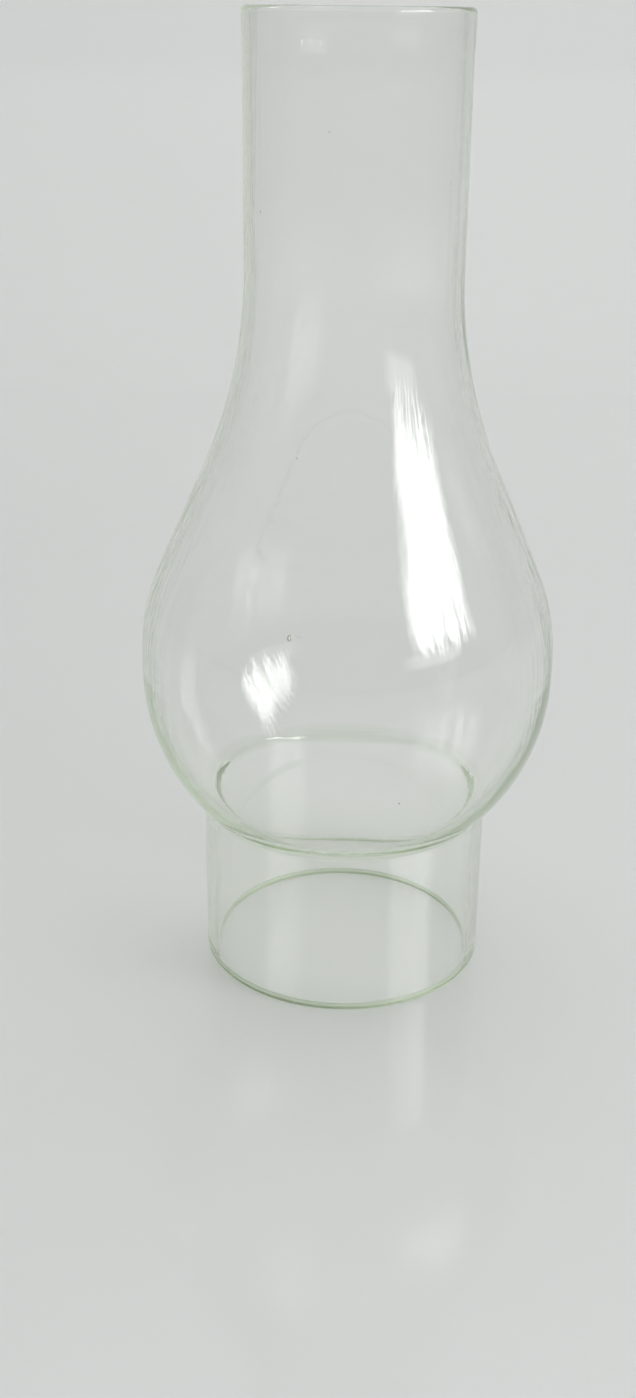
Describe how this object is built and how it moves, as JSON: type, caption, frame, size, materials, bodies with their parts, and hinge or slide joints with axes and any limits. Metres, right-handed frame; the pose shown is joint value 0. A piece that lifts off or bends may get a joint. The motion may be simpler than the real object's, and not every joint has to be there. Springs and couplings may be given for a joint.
{
  "type": "oil lamp chimney",
  "caption": "Clear blown-glass oil lamp chimney: straight fitter collar, crisp crease, ball-shaped bulb, long cone-shaped shoulder and a straight open tube with a flared, fire-polished lip.",
  "frame": {"origin": "centre of the ground rim that the chimney stands on", "axes": "+Z along the chimney's axis, from the rim up to the lip; the chimney is round, so +X and +Y are free"},
  "size_m": [0.0944, 0.0944, 0.213],
  "materials": {
    "clear_glass": "clear soda-lime glass, smooth and fire-polished, faintly green where the wall is seen edge on"
  },
  "bodies": {
    "root": {"glass_chimney": "clear_glass"}
  },
  "joints": []
}
